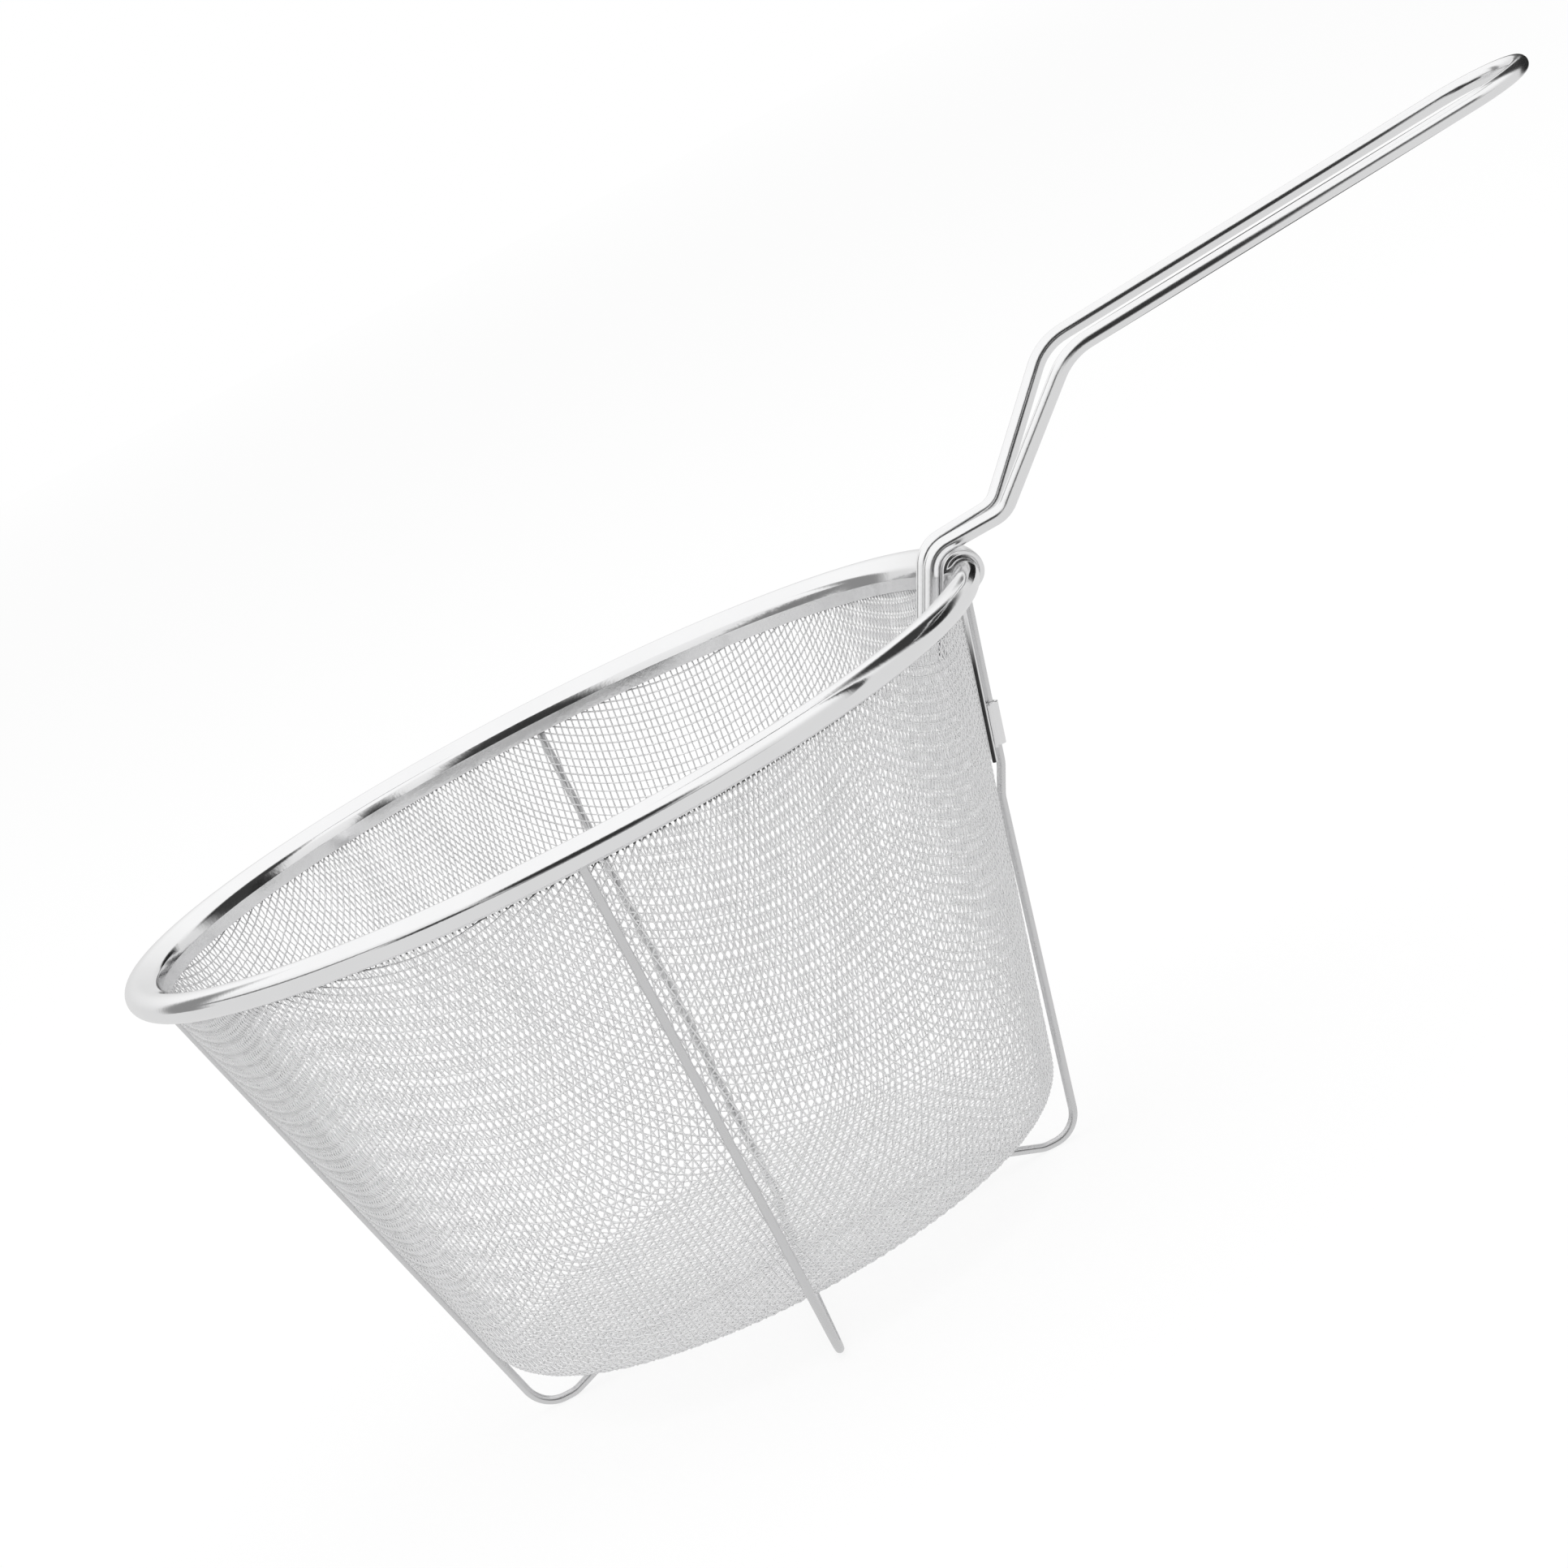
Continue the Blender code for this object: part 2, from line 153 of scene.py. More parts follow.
def sheetOutline(path, thickness):
    # the closed outline of a sheet bent along the path: down its left side and back up its right
    runs = [(b - a).normalized() for a, b in zip(path, path[1:])]
    runs = [runs[0]] + runs + [runs[-1]]
    left = []
    right = []
    for point, before, after in zip(path, runs, runs[1:]):
        across = leftOf(before + after).normalized()
        across *= thickness / 2 / across.dot(leftOf(after))
        left.append(point + across)
        right.append(point - across)
    return left + right[::-1]


# Materials

class Signal:
    # a shader socket that can stand in sums
    def __init__(self, tree, socket=None):
        self.tree = tree
        self.socket = socket

    def add(self, kind, inputs, output=0, **settings):
        node = self.tree.nodes.new(kind)
        for name, value in settings.items():
            setattr(node, name, value)
        for name, value in inputs.items():
            if isinstance(value, Signal):
                self.tree.links.new(value.socket, node.inputs[name])
            else:
                node.inputs[name].default_value = value
        return Signal(self.tree, node.outputs[output])

    def maths(self, operation, a, b):
        return self.add("ShaderNodeMath", {0: a, 1: b}, operation=operation)

    def __add__(self, other):
        return self.maths("ADD", self, other)

    def __sub__(self, other):
        return self.maths("SUBTRACT", self, other)

    def __rsub__(self, other):
        return self.maths("SUBTRACT", other, self)

    def __mul__(self, other):
        return self.maths("MULTIPLY", self, other)

    __radd__ = __add__
    __rmul__ = __mul__

    def ramp(self, start, end, low, high):
        # eases from low, where the signal is at start, to high, where it is at end
        places = {"Value": self, "From Min": start, "From Max": end, "To Min": low, "To Max": high}
        return self.add("ShaderNodeMapRange", places, interpolation_type="SMOOTHSTEP")

    def blend(self, a, b):
        # the colour a where the signal is 0, and b where it is 1
        return self.add("ShaderNodeMix", {"Factor": self, "A": a, "B": b}, output="Result", data_type="RGBA")


surface = {
    "detail": 3.0,        # of both noises
    "roughness": 0.55,
    "cloudTint": 0.7,     # share of the clouding in the colour
    "grainTint": 0.3,     # and of the drawing marks
    "grainWave": 0.4,     # height of the drawing marks beside the clouding's
}


def steel(name, look, shaded=None):
    # stainless steel: faint clouding, fine drawing marks and a slight wave in the surface, with painted
    # shade in the shade colour where the shading is above 0
    material = bpy.data.materials.new(name)
    material.use_nodes = True
    links = material.node_tree.links
    shader = material.node_tree.nodes["Principled BSDF"]
    shader.inputs["Metallic"].default_value = look["metallic"]
    start = Signal(material.node_tree)
    place = start.add("ShaderNodeTexCoord", {}, output="Object")
    noise = {"Vector": place, "Detail": surface["detail"], "Roughness": surface["roughness"]}
    cloud = start.add("ShaderNodeTexNoise", {**noise, "Scale": look["cloudScale"]})
    grain = start.add("ShaderNodeTexNoise", {**noise, "Scale": look["grainScale"]})
    pale = cloud * surface["cloudTint"] + grain * surface["grainTint"]
    tint = pale.blend((*look["dark"], 1), (*look["light"], 1))
    if shaded:
        along, across, level = [start.add("ShaderNodeSeparateXYZ", {"Vector": place}, output=letter)
                                for letter in "XYZ"]
        out = (along - basketAxis) * (1 / mm)
        raised = (level - rollLevel) * (1 / mm)
        # painted shade mixed into the base colour
        tint = shaded(out, across * (1 / mm), raised).blend(tint, (*look["shade"], 1))
    links.new(tint.socket, shader.inputs["Base Color"])
    rough = look["rough"] + (cloud - 0.5) * look["roughSpread"] + (grain - 0.5) * look["roughSpread"]
    links.new(rough.socket, shader.inputs["Roughness"])
    height = grain * surface["grainWave"] + cloud
    wave = {"Height": height, "Strength": look["bump"], "Distance": look["bumpHeight"]}
    links.new(start.add("ShaderNodeBump", wave).socket, shader.inputs["Normal"])
    return material


# Painted shade, from the place in millimetres: out from the basket's axis, across it, and the height

rollShadow = (-5.0, -4.3)    # heights between which it sets in
# painted shade along the strap's cut edges, in the gap next to the net
cutEdgeShade = {
    "from": (7.6, 7.9),      # how far across the edge sets in
    "fades": (-22.0, -8.0),  # heights between which it fades upward
    "offNet": (1.1, 1.4),    # and how far off the net it ends
}


def underRoll(out, across, height):
    # the ends of the net's wires lie in the roll's shadow
    return height.ramp(*rollShadow, 0.0, 1.0)


def cutEdgesAndGapShade(out, across, height):
    # the sheared edges of the strap's outer leaf, darker as cut steel and with painted shade of the gap where
    # they lie close to the net
    top, down = wallLine(0)
    outward = leftOf(down)
    offNet = (out - top.x) * outward.x + height * outward.z
    edge = across.maths("ABSOLUTE", across, 0.0).ramp(*cutEdgeShade["from"], 0.0, 1.0)
    return edge * height.ramp(*cutEdgeShade["fades"], 1.0, 0.0) * offNet.ramp(*cutEdgeShade["offNet"], 1.0, 0.0)


polished = {
    "metallic": 1.0,
    "dark": (0.89, 0.89, 0.895),
    "light": (0.96, 0.96, 0.965),
    "shade": (0.05, 0.05, 0.05),
    "rough": 0.10,
    "roughSpread": 0.05,
    "cloudScale": 60.0,
    "grainScale": 900.0,
    "bump": 0.08,
    "bumpHeight": 0.0004,
}
woven = {
    **polished,
    "metallic": 0.75,
    "dark": (0.91, 0.91, 0.915),
    "light": (0.98, 0.98, 0.985),
    "rough": 0.28,
    "grainScale": 1500.0,
}
drawn = {**polished, "dark": (0.72, 0.72, 0.725), "light": (0.82, 0.82, 0.825), "rough": 0.28}
rimSteel = steel("rim_polished_sheet", polished)
# the strap's sheet carries painted shade along its cut edges, next to the net
strapSteel = steel("strap_polished_sheet", {**polished, "rough": 0.13}, cutEdgesAndGapShade)
handleSteel = steel("handle_polished_wire", {**polished, "rough": 0.18})
clipSteel = steel("clip_sheet", {**polished, "rough": 0.22})
footSteel = steel("foot_drawn_wire", drawn)
netSteel = steel("net_woven_wire", woven, underRoll)


# Making pieces

meshing = {
    "merged": 0.001,       # points nearer together than this become one
    "sharpFrom": 35.0,     # degrees between faces from which an edge is drawn sharp
    "bevelFrom": 50.0,     # and from which it is bevelled
    "bevelSegments": 2,
}


def settle(piece, node):
    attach(piece, "root")
    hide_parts(node)


def meshPiece(name, bm, material, edgeBevel):
    bmesh.ops.remove_doubles(bm, verts=bm.verts, dist=meshing["merged"])
    bmesh.ops.recalc_face_normals(bm, faces=bm.faces)
    bmesh.ops.transform(bm, matrix=onFrame, verts=bm.verts)
    mesh = bpy.data.meshes.new(name)
    bm.to_mesh(mesh)
    bm.free()
    mesh.shade_smooth()
    mesh.set_sharp_from_angle(angle=math.radians(meshing["sharpFrom"]))
    mesh.materials.append(material)
    piece = bpy.data.objects.new(name, mesh)
    bpy.context.collection.objects.link(piece)
    bevel = piece.modifiers.new("soft edges", "BEVEL")
    bevel.width = edgeBevel * mm
    bevel.segments = meshing["bevelSegments"]
    bevel.limit_method = "ANGLE"
    bevel.angle_limit = math.radians(meshing["bevelFrom"])
    return piece


def wirePiece(name, paths, diameter, sides, material):
    # round wires along the paths, in millimetres; each step of bevel resolution adds two sides to four
    curve = bpy.data.curves.new(name, "CURVE")
    curve.dimensions = "3D"
    curve.bevel_depth = diameter / 2 * mm
    curve.bevel_resolution = (sides - 4) // 2
    curve.use_fill_caps = True
    for path in paths:
        points = np.ones((len(path), 4))
        points[:, :3] = np.array(path) * mm + np.array(onFrame.translation)
        spline = curve.splines.new("POLY")
        spline.points.add(len(path) - 1)
        spline.points.foreach_set("co", points.ravel())
    curve.materials.append(material)
    piece = bpy.data.objects.new(name, curve)
    bpy.context.collection.objects.link(piece)
    return piece


def bentSheet(name, outline, sweep, steps, material, edgeBevel):
    # the outline swept sideways or down, each point kept at its distance from the basket's axis
    bm = bmesh.new()
    face = bm.faces.new([bm.verts.new(point) for point in outline])
    for step in range(steps):
        grown = bmesh.ops.extrude_face_region(bm, geom=[face])["geom"]
        moved = [item for item in grown if isinstance(item, bmesh.types.BMVert)]
        bmesh.ops.translate(bm, verts=moved, vec=sweep / steps)
        if step > 0:
            bmesh.ops.delete(bm, geom=[face], context="FACES_ONLY")
        face = next(item for item in grown if isinstance(item, bmesh.types.BMFace))
    for vert in bm.verts:
        vert.co.x = math.sqrt(vert.co.x ** 2 - vert.co.y ** 2)
    return meshPiece(name, bm, material, edgeBevel)


# Rim

def makeRim():
    start, down = wallLine(-(net["thick"] / 2 + clearance + rim["sheet"] / 2))
    edge = atLevel(start, down, -rim["edgeDrop"])
    crease = atLevel(edge, heading(90 - rim["lipSlope"]), -rim["creaseDrop"])
    middle = (rim["roll"] - rim["sheet"]) / 2
    roll = arc(rollCentre, middle, rim["rollStart"], rim["rollEnd"], rim["arcStep"])
    shoulder = crossing(crease, heading(90 - rim["slope"]), roll[0], heading(rim["rollStart"] - 90))
    lip = rounded([edge, crease, shoulder, roll[0]], [rim["crease"], rim["shoulder"]])
    outline = sheetOutline(lip + roll[1:], rim["sheet"])
    bm = bmesh.new()
    verts = [bm.verts.new(point) for point in outline]
    edges = [bm.edges.new(pair) for pair in zip(verts, verts[1:] + verts[:1])]
    bmesh.ops.spin(bm, geom=verts + edges, cent=(0, 0, 0), axis=(0, 0, 1), angle=math.tau,
                   steps=rim["turnSteps"], use_merge=True)
    settle(meshPiece("rim", bm, rimSteel, rim["edgeBevel"]), "rim_band")


makeRim()
print("rim made")


# Woven net, drawn from a flat round into a cup. Its crossings slip in part: they come to lie between
# the places where each would keep one pitch to its neighbours and those straight out from the middle.

def netMeasures():
    # how far out the dish and the corner reach, and where the wall ends under the rim
    dishCentre = Vector((0, 0, net["dish"] - net["depth"]))
    innerStart, down = wallLine(-net["corner"])
    below = atLevel(innerStart, down, -2 * net["depth"])
    cornerCentre = enteringCircle(below, -down, dishCentre, net["dish"] - net["corner"])
    dishEdge = math.asin(cornerCentre.x / (net["dish"] - net["corner"]))
    dishReach = dishEdge * net["dish"]
    cornerReach = (math.radians(90 - net["lean"]) - dishEdge) * net["corner"]
    wallFoot = cornerCentre + heading(-net["lean"]) * net["corner"]
    wallReach = (-net["topDrop"] - wallFoot.z) / math.cos(math.radians(net["lean"]))
    return dishReach, cornerReach, wallReach


dishReach, cornerReach, wallReach = netMeasures()
wallRest = wallReach / (1 + (net["stretchLow"] + net["stretchHigh"]) / 2)


def netShape(reach):
    # radius, height and slope of the net's middle at a reach measured on the flat net
    onDish = np.minimum(reach, dishReach) / net["dish"]
    onCorner = np.clip(reach - dishReach, 0, cornerReach)
    flatWall = np.maximum(reach - dishReach - cornerReach, 0)
    easing = (net["stretchLow"] - net["stretchHigh"]) / (2 * wallRest)
    onWall = flatWall * (1 + net["stretchLow"]) - flatWall ** 2 * easing
    slope = onDish + onCorner / net["corner"]
    radius = (net["dish"] * np.sin(onDish) + net["corner"] * (np.sin(slope) - np.sin(onDish))
              + onWall * np.cos(slope))
    height = (-net["depth"] + net["dish"] * (1 - np.cos(onDish))
              + net["corner"] * (np.cos(onDish) - np.cos(slope)) + onWall * np.sin(slope))
    return radius, height, slope


def drapeQuarter():
    # reach and turn of each crossing of a quarter of the net
    pitch = net["pitch"]
    rimReach = dishReach + cornerReach + wallRest
    count = int(rimReach / pitch) + net["spareCrossings"]
    x, y = np.indices((count, count))
    straightReach = np.hypot(x, y) * pitch
    straightTurn = np.arctan2(y, x)
    reach = straightReach.copy()
    turn = straightTurn.copy()
    drawn = (reach > dishReach) & (x * y > 0)
    reach[drawn] = np.nan
    for diagonal in range(2, 2 * count - 1):
        x = np.arange(max(1, diagonal - count + 1), min(count, diagonal))
        y = diagonal - x
        further = np.maximum(reach[x - 1, y], reach[x, y - 1])
        unknown = np.isnan(reach[x, y]) & (further < rimReach * net["spareReach"])
        x = x[unknown]
        y = y[unknown]
        middle = (reach[x - 1, y] + reach[x, y - 1]) / 2
        radius = netShape(middle)[0]
        up = reach[x, y - 1] - reach[x - 1, y]
        across = (turn[x, y - 1] - turn[x - 1, y]) * radius
        apart = np.hypot(up, across)
        climb = np.sqrt(np.maximum(pitch ** 2 - (apart / 2) ** 2, 0))
        reach[x, y] = middle - across / apart * climb
        turn[x, y] = (turn[x - 1, y] + turn[x, y - 1]) / 2 + up / apart * climb / radius
    reach += (straightReach - reach) * net["slip"]
    turn += (straightTurn - turn) * net["slip"]
    return reach, turn, rimReach


def wovenWires(reach, turn, rimReach, lift):
    # one wire for each row of crossings, over and under the wires across it, cut off under the rim
    wires = []
    for row, (rowReach, rowTurn) in enumerate(zip(reach, turn)):
        inside = np.flatnonzero(rowReach < rimReach)
        if len(inside) < net["fewest"]:
            continue
        run = np.arange(inside[0] - 1, inside[-1] + 2)
        rowReach = rowReach[run].copy()
        rowTurn = rowTurn[run].copy()
        for end, inner in ((0, 1), (-1, -2)):
            share = (rimReach - rowReach[inner]) / (rowReach[end] - rowReach[inner])
            rowTurn[end] = rowTurn[inner] + (rowTurn[end] - rowTurn[inner]) * share
            rowReach[end] = rimReach
        radius, height, slope = netShape(rowReach)
        side = np.where((run + row) % 2, lift, -lift)
        radius = radius + side * np.sin(slope)
        height = height - side * np.cos(slope)
        angle = rowTurn + math.radians(net["warpTurn"])
        wires.append(np.column_stack([radius * np.cos(angle), radius * np.sin(angle), height]))
    return wires


def makeNet():
    quarterReach, quarterTurn, rimReach = drapeQuarter()
    middle = len(quarterReach) - 1
    reach = np.full((2 * middle + 1, 2 * middle + 1), np.nan)
    turn = reach.copy()
    x, y = np.indices(quarterReach.shape)
    for quarter in range(4):
        reach[x + middle, y + middle] = quarterReach
        turn[x + middle, y + middle] = quarterTurn + quarter * math.pi / 2
        x, y = -y, x
    warp = wovenWires(reach.T, turn.T, rimReach, net["wire"] / 2)
    weft = wovenWires(reach, turn, rimReach, -net["wire"] / 2)
    halves = {
        "net_warp_left": warp[:len(warp) // 2],
        "net_warp_right": warp[len(warp) // 2:],
        "net_weft_near": weft[:len(weft) // 2],
        "net_weft_far": weft[len(weft) // 2:],
    }
    for name, wires in halves.items():
        piece = wirePiece(name, wires, net["wire"] * net["squareSize"], net["sides"], netSteel)
        settle(piece, "basket_mesh")
        print(name, len(wires), "wires", sum(map(len, wires)), "points")


makeNet()


# Foot wires

foot = {
    "wire": 2.1,
    "height": 10.0,       # of the basket above the surface
    "bend": 7.5,
    "flat": 1.5,
    "returnRise": 20.0,
    "runBend": 6.0,
    "jogDrop": 45.5,      # below the strap, the wire on it bends back to the wall
    "jogHeight": 7.0,
    "jogBend": 8.0,
    "sides": 20,
}
strap = {
    "sheet": 1.2,
    "width": 16.0,
    "innerDrop": 16.0,
    "outerDrop": 43.4,
    "leavesRoll": -60.0,
    "bend": 2.0,
    "edgeBevel": 0.25,
    "arcStep": 6.0,
    "sweepSteps": 8,
}
netBottom = -net["depth"] - net["thick"] / 2
wireSeat = net["thick"] / 2 + clearance + foot["wire"] / 2
strapSeat = net["thick"] / 2 + clearance + strap["sheet"] / 2
wireSeatOnStrap = wireSeat + strap["sheet"] + clearance
strapWrap = rim["roll"] / 2 + clearance + strap["sheet"] / 2


def halfFootWire(seat, runLevel, top):
    # one side of a foot wire, from its top end down to its run under the bottom
    start, down = wallLine(seat)
    heel = atLevel(start, down, netBottom - foot["height"] + foot["wire"] / 2)
    bends = math.tan(math.radians(90 - net["lean"]) / 2) + math.tan(math.radians(foot["returnRise"]) / 2)
    toe = heel - Vector((foot["flat"] + foot["bend"] * bends, 0, 0))
    return [top, heel, toe, atLevel(toe, heading(180 - foot["returnRise"]), runLevel)]


def footWirePath(left, right, extraRadii=()):
    mirrored = [Vector((-point.x, 0, point.z)) for point in left]
    radii = [foot["bend"], foot["bend"], foot["runBend"]]
    return rounded(mirrored + right[::-1], radii + radii[::-1] + list(extraRadii))


def topUnderRoll():
    edgeStart, down = wallLine(wireSeat + foot["wire"] / 2)
    low = atLevel(edgeStart, down, -net["depth"])
    touch = enteringCircle(low, -down, rollCentre, rim["roll"] / 2 + clearance)
    return touch - leftOf(down) * foot["wire"] / 2


def topUnderStrap():
    edgeStart, down = wallLine(wireSeatOnStrap - foot["wire"] / 2)
    reach = strapWrap + strap["sheet"] / 2 + clearance
    outerFace = rollCentre + heading(strap["leavesRoll"]) * reach
    edgeTop = crossing(edgeStart, down, outerFace, heading(strap["leavesRoll"] - 90))
    return edgeTop + leftOf(down) * foot["wire"] / 2


def makeFootWires():
    frontRun = netBottom - clearance - foot["wire"] / 2
    sideRun = frontRun - foot["wire"] - clearance
    plain = halfFootWire(wireSeat, sideRun, topUnderRoll())
    top, *rest = halfFootWire(wireSeatOnStrap, sideRun, topUnderStrap())
    onStrap, down = wallLine(wireSeatOnStrap)
    onWall, _ = wallLine(wireSeat)
    jogFoot = -foot["jogDrop"] - foot["jogHeight"]
    jog = [atLevel(onStrap, down, -foot["jogDrop"]), atLevel(onWall, down, jogFoot)]
    across = footWirePath(plain, [top] + jog + rest, [foot["jogBend"]] * 2)
    side = wirePiece("foot_wire_across", [across], foot["wire"], foot["sides"], footSteel)
    settle(side, "foot_wire_side")
    front = halfFootWire(wireSeat, frontRun, topUnderRoll())
    turned = [Vector((0, point.x, point.z)) for point in footWirePath(front, front)]
    near = wirePiece("foot_wire_near_far", [turned], foot["wire"], foot["sides"], footSteel)
    settle(near, "foot_wire_front")


makeFootWires()
print("foot wires made")


# Strap over the rim, and the clip on its outer leaf

clip = {
    "sheet": 0.8,
    "topDrop": 30.5,
    "height": 10.2,
    "flange": 3.3,
    "bend": 0.6,
    "edgeBevel": 0.18,
    "bowStep": 10.0,
    "bendStep": 15.0,
    "sweepSteps": 3,
}
handle = {
    "wire": 4.0,
    "legLean": 26.6,
    "legDrop": 15.5,
    "legSpacing": 12.4,
    "legBend": 7.0,
    "reachRise": 3.4,
    "reachLength": 18.9,
    "reachSpacing": 17.0,
    "reachBend": 7.0,
    "steepRise": 44.3,
    "steepHeight": 27.3,
    "steepBend": 15.0,
    "gripRise": 4.5,
    "gripLength": 125.6,
    "gripSpacing": 35.0,
    "bendStep": 4.0,
    "sides": 32,
}


def makeStrap():
    upLeg = heading(90 - handle["legLean"])
    wrap = arc(rollCentre, strapWrap, 180 - handle["legLean"], strap["leavesRoll"], strap["arcStep"])
    innerEnd = atLevel(wrap[0], upLeg, -strap["innerDrop"])
    wallStart, down = wallLine(strapSeat)
    tuck = crossing(wrap[-1], heading(strap["leavesRoll"] - 90), wallStart, down)
    outerEnd = atLevel(wallStart, down, -strap["outerDrop"])
    leaf = rounded([wrap[-1], tuck, outerEnd], [strap["bend"]], strap["arcStep"])
    path = [innerEnd] + wrap[:-1] + leaf
    outline = sheetOutline(path, strap["sheet"])
    for point in outline:
        point.y = -strap["width"] / 2
    piece = bentSheet("handle_strap_sheet", outline, Vector((0, strap["width"], 0)), strap["sweepSteps"],
                      strapSteel, strap["edgeBevel"])
    settle(piece, "handle_strap")


def makeClip():
    # its section, with X across the wire and Z out from the net
    flange = strapSeat + strap["sheet"] / 2 + clearance + clip["sheet"] / 2
    bowRadius = foot["wire"] / 2 + clearance + clip["sheet"] / 2
    bow = arc(Vector((0, 0, wireSeatOnStrap)), bowRadius, 180, 0, clip["bowStep"])
    corners = [Vector((-bowRadius - clip["flange"], 0, flange)), Vector((-bowRadius, 0, flange)), bow[0]]
    left = rounded(corners, [clip["bend"]], clip["bendStep"])
    right = [Vector((-point.x, 0, point.z)) for point in left[::-1]]
    section = sheetOutline(left + bow[1:-1] + right, clip["sheet"])
    start, down = wallLine(0)
    top = atLevel(start, down, -clip["topDrop"])
    outline = [top + Vector((0, point.x, 0)) + leftOf(down) * point.z for point in section]
    piece = bentSheet("clip_bridge", outline, down * clip["height"], clip["sweepSteps"],
                      clipSteel, clip["edgeBevel"])
    settle(piece, "strap_clip")


makeStrap()
makeClip()
print("strap and clip made")


# Handle: a hairpin whose legs go over the rim, climb steeply and run out to a round end

def handleCorners():
    upLeg = heading(90 - handle["legLean"])
    seat = strapWrap + strap["sheet"] / 2 + clearance + handle["wire"] / 2
    bow = rollCentre.x - math.sqrt(rollCentre.x ** 2 - (handle["legSpacing"] / 2) ** 2)
    leg = rollCentre + leftOf(upLeg) * (seat + bow)
    reachRun = heading(handle["reachRise"])
    inner = crossing(leg, upLeg, rollCentre + leftOf(reachRun) * seat, reachRun)
    lower = inner + reachRun * handle["reachLength"]
    steepLength = handle["steepHeight"] / math.sin(math.radians(handle["steepRise"]))
    upper = lower + heading(handle["steepRise"]) * steepLength
    loop = upper + heading(handle["gripRise"]) * handle["gripLength"]
    return [atLevel(leg, upLeg, -handle["legDrop"]), inner, lower, upper, loop]


def makeHandle():
    spacings = [handle["legSpacing"], handle["legSpacing"], handle["reachSpacing"], handle["gripSpacing"],
                handle["gripSpacing"]]
    corners = list(zip(handleCorners(), spacings))
    near = [Vector((point.x, -spacing / 2, point.z)) for point, spacing in corners]
    far = [Vector((point.x, spacing / 2, point.z)) for point, spacing in corners]
    radii = [handle["legBend"], handle["reachBend"], handle["steepBend"], handle["gripSpacing"] / 2]
    path = rounded(near + far[::-1], radii + radii[::-1], handle["bendStep"])
    piece = wirePiece("handle_hairpin", [path], handle["wire"], handle["sides"], handleSteel)
    settle(piece, "handle_wire")


makeHandle()
print("handle made")


# Studio

camera = {
    "azimuth": -1.22,        # in degrees, from straight in front
    "elevation": 10.41,
    "roll": -27.06,
    "distance": 1.0,         # in metres, from the place that it aims at
    "aim": (-0.0355, 0.0032, 0.1073),
    "lens": 98.32,
}
studio = {
    "floor": 0.97,           # how pale it is
    "floorWidth": 12.0,
    "floorGlow": 0.84,       # share of the floor that keeps its white where the shadow falls
    "shadowReach": (0.25, 0.6),
    "floorMirrored": 0.74,   # how bright the floor and the horizon look in the steel
    "wallRises": 0.6,        # sine of the height at which the wall is fully white
    "world": 0.85,           # strength for what isn't seen or mirrored
    "softboxHeight": 1.4,
    "softboxSize": 2.4,
    "softboxPower": 10.0,
}
white = (1, 1, 1, 1)


def makeCamera():
    turn = math.radians(camera["azimuth"])
    rise = math.radians(camera["elevation"])
    roll = math.radians(camera["roll"])
    back = Vector((math.sin(turn) * math.cos(rise), -math.cos(turn) * math.cos(rise), math.sin(rise)))
    right = Vector((math.cos(turn), math.sin(turn), 0))
    up = right.cross(-back)
    rolledRight = right * math.cos(roll) + up * math.sin(roll)
    rolledUp = up * math.cos(roll) - right * math.sin(roll)
    place = Vector(camera["aim"]) + back * camera["distance"]
    data = bpy.data.cameras.new("camera")
    data.lens = camera["lens"]
    view = bpy.data.objects.new("camera", data)
    turned = Matrix((rolledRight, rolledUp, back)).transposed().to_4x4()
    view.matrix_world = Matrix.Translation(place) @ turned
    bpy.context.collection.objects.link(view)
    bpy.context.scene.camera = view


def stageSheet(name, placed, material):
    # a square sheet, one metre wide until it is placed
    bm = bmesh.new()
    bmesh.ops.create_grid(bm, x_segments=1, y_segments=1, size=0.5)
    mesh = bpy.data.meshes.new(name)
    bm.to_mesh(mesh)
    bm.free()
    mesh.materials.append(material)
    sheet = bpy.data.objects.new(name, mesh)
    sheet.matrix_world = placed
    bpy.context.collection.objects.link(sheet)
    return sheet


def makeFloor():
    material = bpy.data.materials.new("pale_floor")
    material.use_nodes = True
    tree = material.node_tree
    tree.nodes.clear()
    start = Signal(tree)
    place = start.add("ShaderNodeTexCoord", {}, output="Object")
    away = start.add("ShaderNodeVectorMath", {0: place}, output="Value", operation="LENGTH")
    seen = start.add("ShaderNodeLightPath", {}, output="Is Camera Ray")
    mirrored = start.add("ShaderNodeLightPath", {}, output="Is Glossy Ray")
    matt = start.add("ShaderNodeBsdfDiffuse", {"Color": (studio["floor"],) * 3 + (1,)})
    glow = start.add("ShaderNodeEmission", {"Color": white, "Strength": 1.0})
    dim = start.add("ShaderNodeEmission", {"Color": white, "Strength": studio["floorMirrored"]})
    glowShare = away.ramp(*studio["shadowReach"], studio["floorGlow"], 1.0)
    toCamera = start.add("ShaderNodeMixShader", {0: glowShare, 1: matt, 2: glow})
    toSteel = start.add("ShaderNodeMixShader", {0: mirrored, 1: matt, 2: dim})
    mixed = start.add("ShaderNodeMixShader", {0: seen, 1: toSteel, 2: toCamera})
    output = tree.nodes.new("ShaderNodeOutputMaterial")
    tree.links.new(mixed.socket, output.inputs["Surface"])
    stageSheet("floor", Matrix.Diagonal((studio["floorWidth"], studio["floorWidth"], 1, 1)), material)


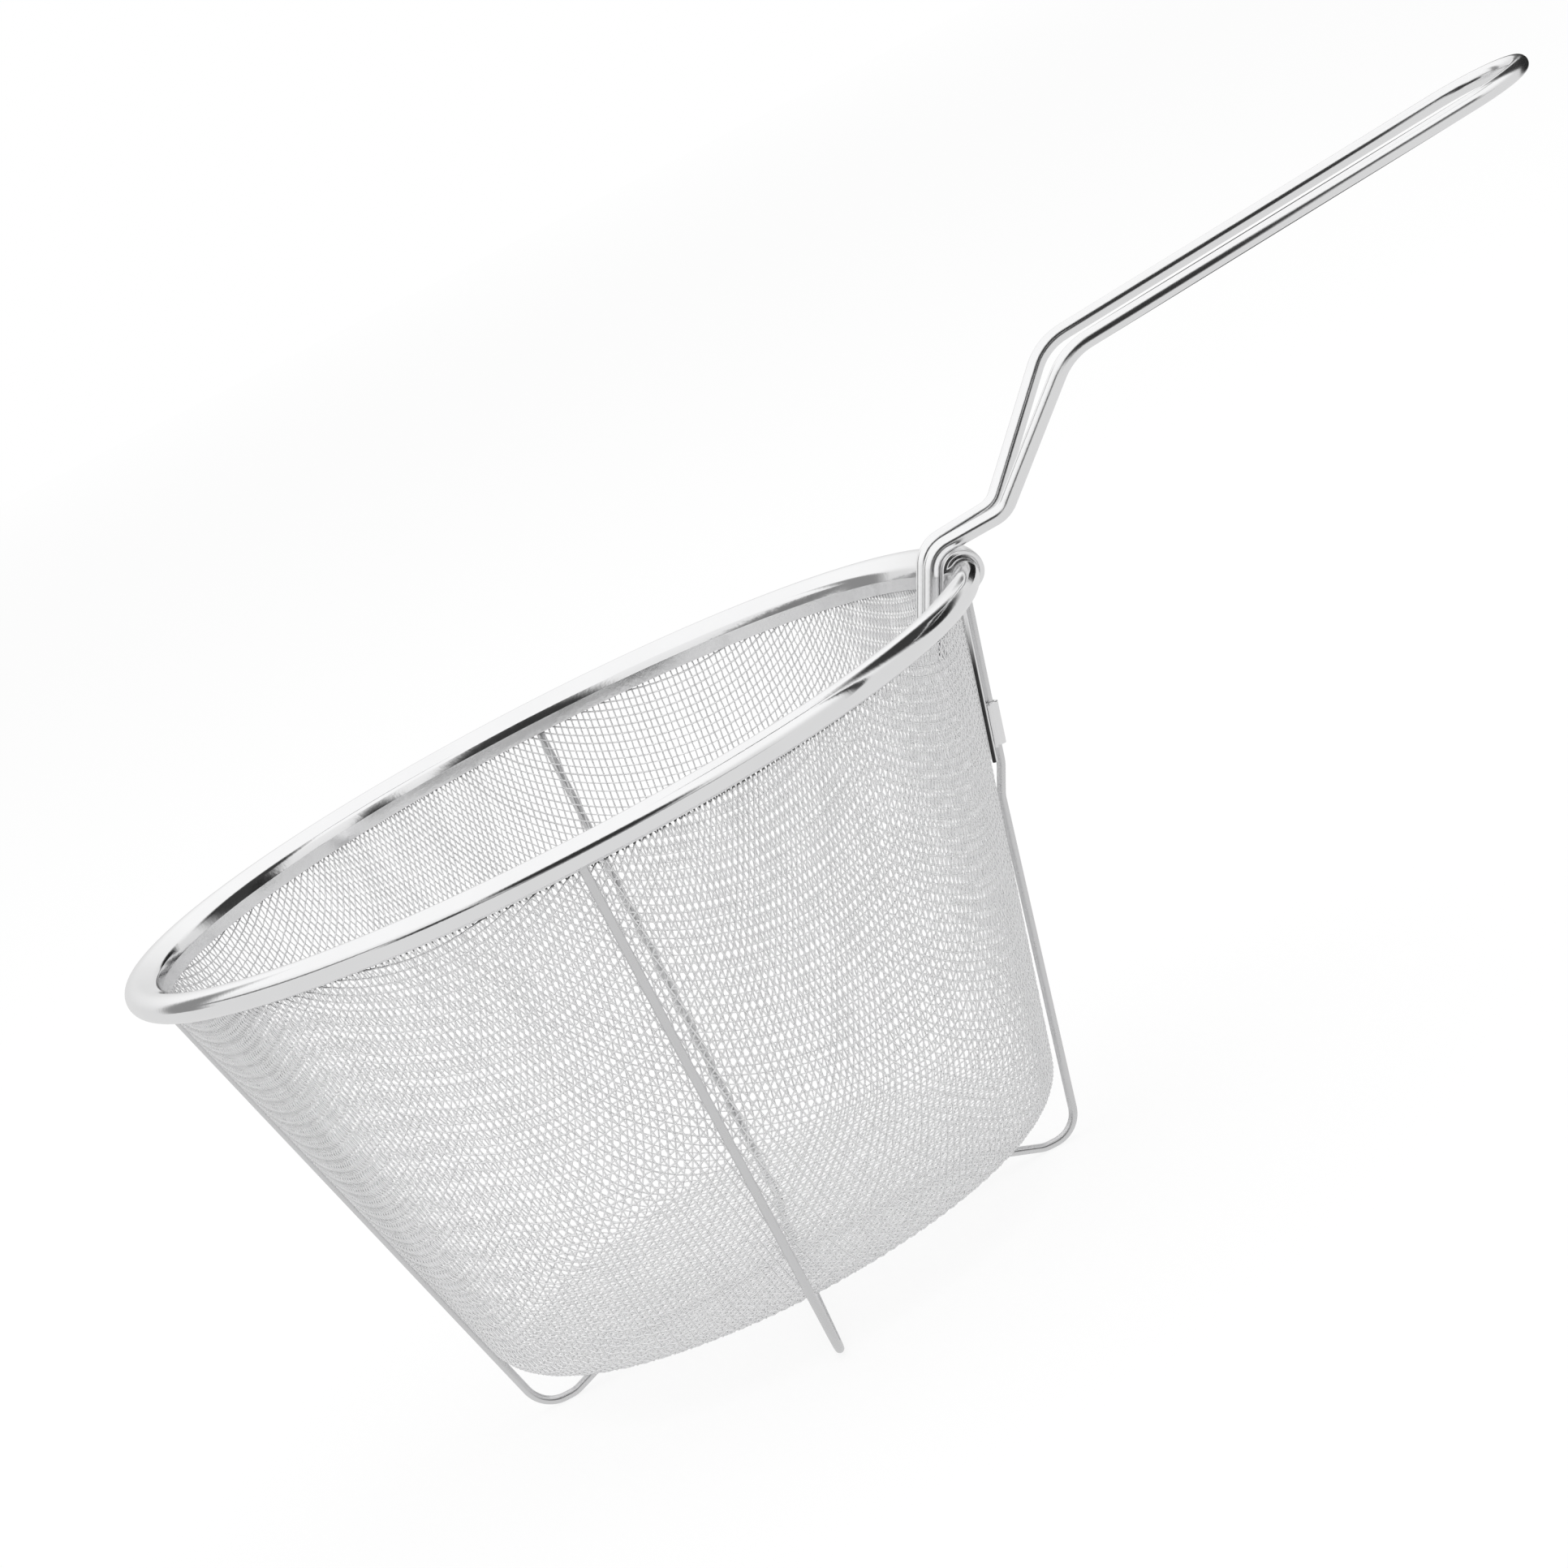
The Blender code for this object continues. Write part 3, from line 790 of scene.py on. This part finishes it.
def makeWorld():
    world = bpy.data.worlds.new("studio")
    bpy.context.scene.world = world
    world.use_nodes = True
    tree = world.node_tree
    background = tree.nodes["Background"]
    background.inputs["Color"].default_value = white
    start = Signal(tree)
    seen = [start.add("ShaderNodeLightPath", {}, output="Is %s Ray" % kind)
            for kind in ("Camera", "Glossy", "Transmission")]
    shown = start.maths("MINIMUM", seen[0] + seen[1] + seen[2], 1.0)
    towards = start.add("ShaderNodeTexCoord", {}, output="Generated")
    rise = start.add("ShaderNodeSeparateXYZ", {"Vector": towards}, output="Z")
    wall = rise.ramp(0.0, studio["wallRises"], studio["floorMirrored"], 1.0)
    bright = start.maths("MAXIMUM", seen[0], wall)
    strength = shown * (bright - studio["world"]) + studio["world"]
    tree.links.new(strength.socket, background.inputs["Strength"])


def makeLights():
    data = bpy.data.lights.new("overhead_softbox", "AREA")
    data.size = studio["softboxSize"]
    data.energy = studio["softboxPower"]
    lamp = bpy.data.objects.new("overhead_softbox", data)
    lamp.location = (0, 0, studio["softboxHeight"])
    lamp.visible_glossy = False
    bpy.context.collection.objects.link(lamp)


# Dark cards that only the steel sees, as streaks. Each stands some metres away from the middle of
# the rim, or from a place so far along X and up from it. The way to it, its size as seen from that
# place and its tilt are in degrees, and soft is the share of it that fades into its edge.
farAway = 1.9
cards = {
    "behind_camera": {"azimuth": -88, "elevation": 14, "width": 66, "height": 36, "tone": 0.03, "soft": 0.45},
    "low_left": {"azimuth": -127, "elevation": 3, "width": 34, "height": 17, "tone": 0.05, "soft": 0.5},
    "left_line": {"azimuth": -169, "elevation": 12, "width": 84, "height": 8, "tone": 0.2, "soft": 0.4},
    "beside_handle": {"azimuth": -90, "elevation": 9, "width": 69, "height": 76, "tone": 0.03, "soft": 0.5,
                      "along": 0.182, "up": 0.03, "away": 0.1},
    "beside_far_leg": {"azimuth": -90, "elevation": 9, "width": 160, "height": 108, "tilt": 4.5, "tone": 0.03,
                       "soft": 0.3, "along": 0.206, "up": 0.038, "away": 0.01},
    "past_the_loop": {"azimuth": 40, "elevation": 0, "width": 70, "height": 70, "tone": 0.02, "soft": 0.4,
                      "along": 0.275, "up": 0.044, "away": 0.12},
    "low_front": {"azimuth": -88, "elevation": -5, "width": 114, "height": 20, "tone": 0.2, "soft": 0.7},
    "right": {"azimuth": 22, "elevation": 26, "width": 54, "height": 60, "tone": 0.04, "soft": 0.45,
              "away": 0.75},
    "above_right": {"azimuth": -8, "elevation": 60, "width": 50, "height": 6, "tilt": -35, "tone": 0.1,
                    "soft": 0.7},
    "left": {"azimuth": 150, "elevation": 12, "width": 30, "height": 78, "tilt": 14, "tone": 0.26,
             "soft": 0.6},
    "far_right": {"azimuth": 64, "elevation": 0, "width": 24, "height": 44, "tone": 0.01, "soft": 0.4},
}


def cardMaterial(name, card):
    # a disc that fades out towards its rim, on a sheet whose own coordinates run from -0.5 to 0.5
    material = bpy.data.materials.new(name)
    material.use_nodes = True
    tree = material.node_tree
    tree.nodes.clear()
    start = Signal(tree)
    place = start.add("ShaderNodeTexCoord", {}, output="Object")
    away = start.add("ShaderNodeVectorMath", {0: place}, output="Value", operation="LENGTH")
    cover = away.ramp(0.5 - card["soft"] / 2, 0.5, 1.0, 0.0)
    clear = start.add("ShaderNodeBsdfTransparent", {})
    dark = start.add("ShaderNodeEmission", {"Color": white, "Strength": card["tone"]})
    mixed = start.add("ShaderNodeMixShader", {0: cover, 1: clear, 2: dark})
    output = tree.nodes.new("ShaderNodeOutputMaterial")
    tree.links.new(mixed.socket, output.inputs["Surface"])
    return material


def makeCards():
    for name, card in cards.items():
        away = card.get("away", farAway)
        width = 2 * away * math.tan(math.radians(card["width"] / 2))
        height = 2 * away * math.tan(math.radians(card["height"] / 2))
        seenFrom = (basketAxis + card.get("along", 0), 0, rollLevel + card.get("up", 0))
        placed = (Matrix.Translation(seenFrom)
                  @ Matrix.Rotation(math.radians(card["azimuth"]), 4, "Z")
                  @ Matrix.Rotation(math.radians(-card["elevation"]), 4, "Y")
                  @ Matrix.Translation((away, 0, 0))
                  @ Matrix.Rotation(math.radians(card.get("tilt", 0)), 4, "X")
                  @ Matrix.Rotation(math.radians(90), 4, "Z")
                  @ Matrix.Rotation(math.radians(90), 4, "X")
                  @ Matrix.Diagonal((width, height, 1, 1)))
        sheet = stageSheet("card_" + name, placed, cardMaterial("card_" + name, card))
        sheet.visible_camera = False
        sheet.visible_diffuse = False
        sheet.visible_shadow = False


makeCamera()
makeFloor()
makeWorld()
makeLights()
makeCards()
bpy.context.scene.view_settings.view_transform = "Standard"
print("studio made")
